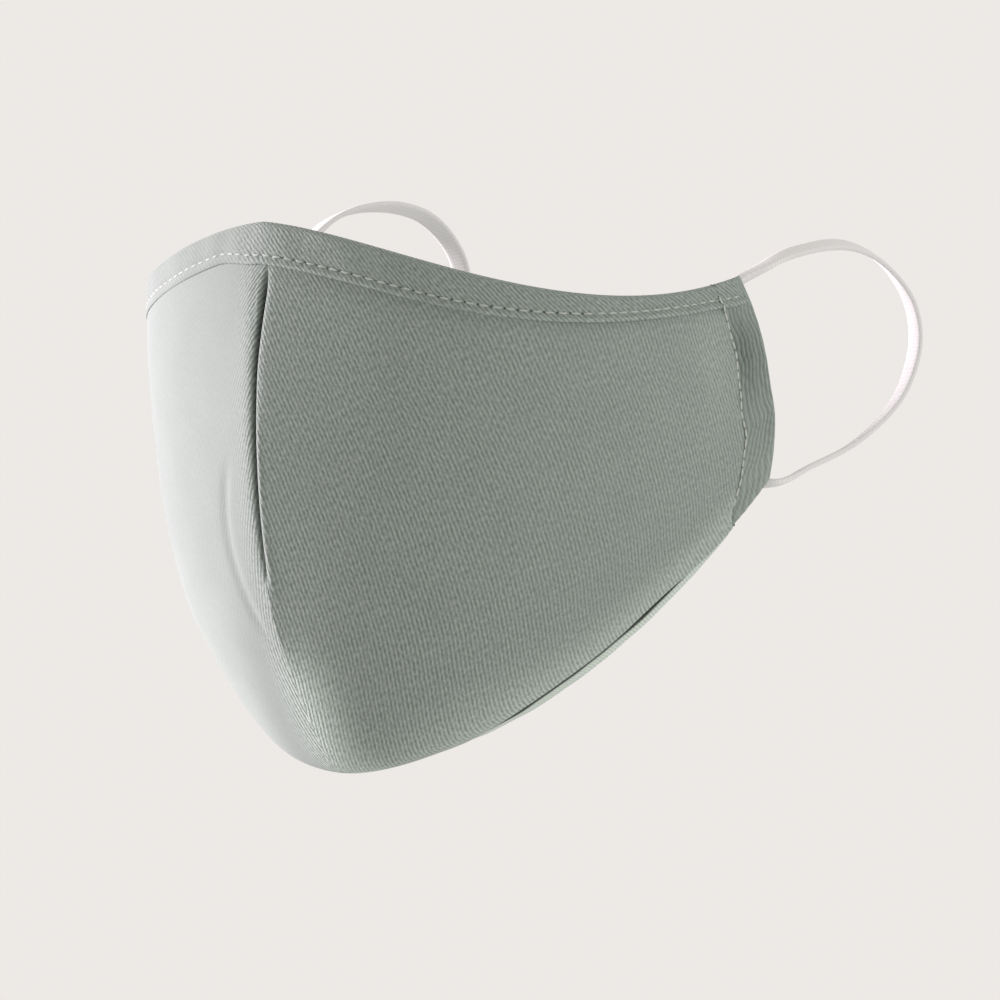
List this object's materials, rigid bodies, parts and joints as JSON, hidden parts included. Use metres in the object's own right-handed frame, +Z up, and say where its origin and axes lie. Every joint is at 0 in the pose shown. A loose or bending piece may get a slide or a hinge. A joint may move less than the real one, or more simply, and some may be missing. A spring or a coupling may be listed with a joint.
{
  "type": "cloth face mask",
  "caption": "Sewn cotton face mask with a darted front, bound top edge, faced hem and elastic ear loops, in the form it has when worn.",
  "frame": {"origin": "middle of the top edge, where the mask sits on the bridge of the nose", "axes": "+Z up the face, -Y out of the front of the mask, +Y back towards the ears, +X towards the wearer's left ear"},
  "size_m": [0.1569, 0.1593, 0.1411],
  "materials": {
    "twill": "sage green cotton twill",
    "facing_cotton": "paler cotton of the hem facing",
    "elastic": "white knitted elastic"
  },
  "bodies": {
    "root": {"mask_panel": "twill", "top_binding": "twill", "lower_facing": "facing_cotton", "ear_casing_left": "twill", "ear_casing_right": "twill", "ear_loop_left": "elastic", "ear_loop_right": "elastic"}
  },
  "joints": []
}
